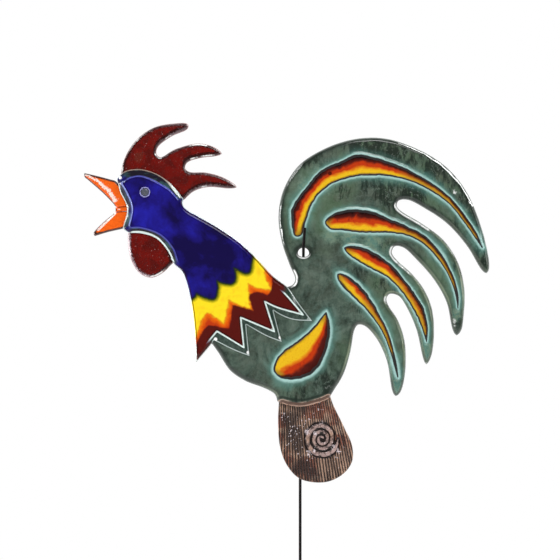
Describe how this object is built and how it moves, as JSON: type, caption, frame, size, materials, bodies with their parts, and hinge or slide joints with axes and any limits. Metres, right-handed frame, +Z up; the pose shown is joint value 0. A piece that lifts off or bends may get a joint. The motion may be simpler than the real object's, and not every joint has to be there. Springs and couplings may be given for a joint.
{
  "type": "rooster garden sculpture",
  "caption": "Flat rooster of glazed clay slabs with curved tail feathers, hung by a hole on a bent steel rod that is pushed into the ground, so that it sways.",
  "frame": {"origin": "on the rod's axis at the ground line", "axes": "+Z up along the rod, +X from the beak to the tail, front of the figure towards -Y"},
  "size_m": [0.4467, 0.0249, 0.7537],
  "materials": {
    "green_glaze": "gloss",
    "flame_glaze": "gloss",
    "head_rim_glaze": "gloss",
    "cobalt_glaze": "gloss",
    "yellow_glaze": "gloss",
    "orange_glaze": "gloss",
    "oxblood_glaze": "gloss",
    "eye_glaze": "gloss",
    "bark_clay": "satin",
    "dark_steel": "satin"
  },
  "bodies": {
    "rod": {"support_rod": "dark_steel"},
    "figure": {"body_slab": "green_glaze", "wing_glaze": "flame_glaze", "tail_glaze_1": "flame_glaze", "tail_glaze_2": "flame_glaze", "tail_glaze_3": "flame_glaze", "tail_glaze_4": "flame_glaze", "hackle_slab": "head_rim_glaze", "comb": "oxblood_glaze", "beak_upper": "orange_glaze", "beak_lower": "orange_glaze", "beak_corner": "orange_glaze", "wattle": "oxblood_glaze", "neck_glaze_blue": "cobalt_glaze", "neck_glaze_yellow": "yellow_glaze", "neck_glaze_orange": "orange_glaze", "neck_glaze_red": "oxblood_glaze", "eye_ring": "eye_glaze", "eye_bead": "eye_glaze", "stump": "bark_clay", "stump_knot": "bark_clay"}
  },
  "joints": [
    {"name": "sway", "type": "hinge", "parent": "rod", "child": "figure", "pos_m": [0.0035, -0.014, 0.3838], "axis": [0, 1, 0], "range_deg": [-60, 60]}
  ]
}
